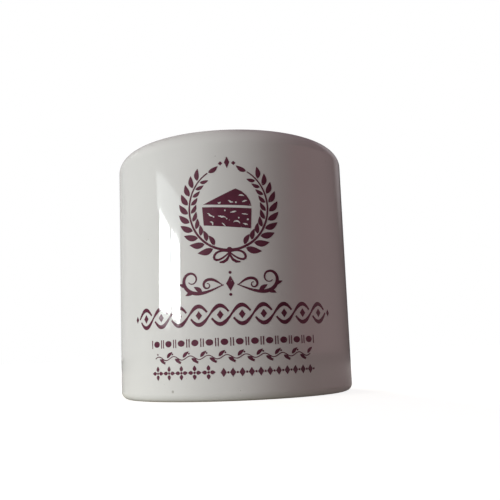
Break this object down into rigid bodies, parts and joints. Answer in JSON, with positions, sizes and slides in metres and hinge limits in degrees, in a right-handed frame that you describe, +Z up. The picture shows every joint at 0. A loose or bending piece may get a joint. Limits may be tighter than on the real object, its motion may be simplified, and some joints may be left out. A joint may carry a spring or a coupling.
{
  "type": "stoneware jar of blue cheese",
  "caption": "Straight-sided glazed stoneware jar with a rolled shoulder, shut by a wax seal sunk in its mouth; it holds blue cheese and stands on an unglazed foot ring.",
  "frame": {"origin": "centre of the foot ring, on the plane the jar stands on", "axes": "+Z up along the jar's axis; the printed side faces -Y"},
  "size_m": [0.086, 0.086, 0.0919],
  "materials": {
    "glaze": "glossy cream glaze over stoneware, with faint pinholes and specks",
    "print": "dark maroon ornament fired under the glossy glaze",
    "wax": "poured cream wax, softly shining"
  },
  "bodies": {
    "root": {"jar": "glaze", "seal": "wax"}
  },
  "joints": []
}
